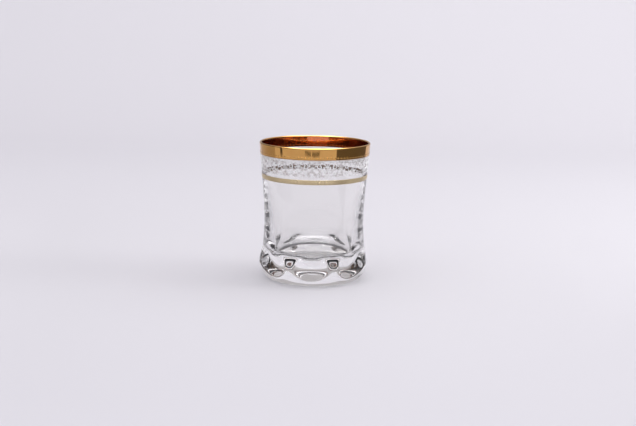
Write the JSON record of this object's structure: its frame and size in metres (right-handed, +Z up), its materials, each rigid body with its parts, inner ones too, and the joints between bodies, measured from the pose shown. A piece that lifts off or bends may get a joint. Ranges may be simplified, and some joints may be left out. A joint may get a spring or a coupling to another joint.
{
  "type": "lowball glass",
  "caption": "Waisted clear lowball tumbler on a heavy base with eight hollow cuts, with a gold band over the lip and a thin beaded gold line under an etched ornament band.",
  "frame": {"origin": "middle of the resting plane, under the foot", "axes": "+Z up along the glass's axis, towards the lip; the middle of one of the base's cuts faces -Y"},
  "size_m": [0.0774, 0.0774, 0.0961],
  "materials": {
    "glass_body": "clear, polished, with an etched ornament band under the rim",
    "gold_rim_band": "fired gold film, polished",
    "gold_bead_line": "fired gold film, beaded"
  },
  "bodies": {
    "root": {"glass_body": "glass_body", "gold_rim_band": "gold_rim_band", "gold_bead_line": "gold_bead_line"}
  },
  "joints": []
}
